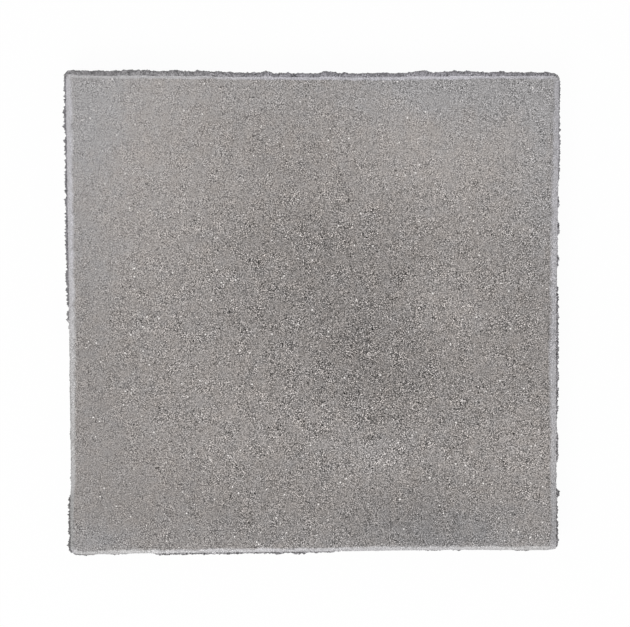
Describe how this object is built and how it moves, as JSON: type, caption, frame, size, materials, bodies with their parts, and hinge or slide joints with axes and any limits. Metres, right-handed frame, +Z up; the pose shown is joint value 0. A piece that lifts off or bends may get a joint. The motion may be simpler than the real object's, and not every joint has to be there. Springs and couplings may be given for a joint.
{
  "type": "concrete paving slab",
  "caption": "Square grey concrete paving slab with a bevelled upper edge, plain upright sides and a flat bed face, laid on sand or mortar as paving.",
  "frame": {"origin": "centre of the bed face, on the ground that the slab lies on", "axes": "+Z up through the walking face; +X and +Y along the square's sides, +Y towards the top of the picture"},
  "size_m": [0.5, 0.5, 0.05],
  "materials": {
    "concrete": "matt pressed concrete, sandy grain, paler smooth bevel"
  },
  "bodies": {
    "root": {"paving_slab": "concrete"}
  },
  "joints": []
}
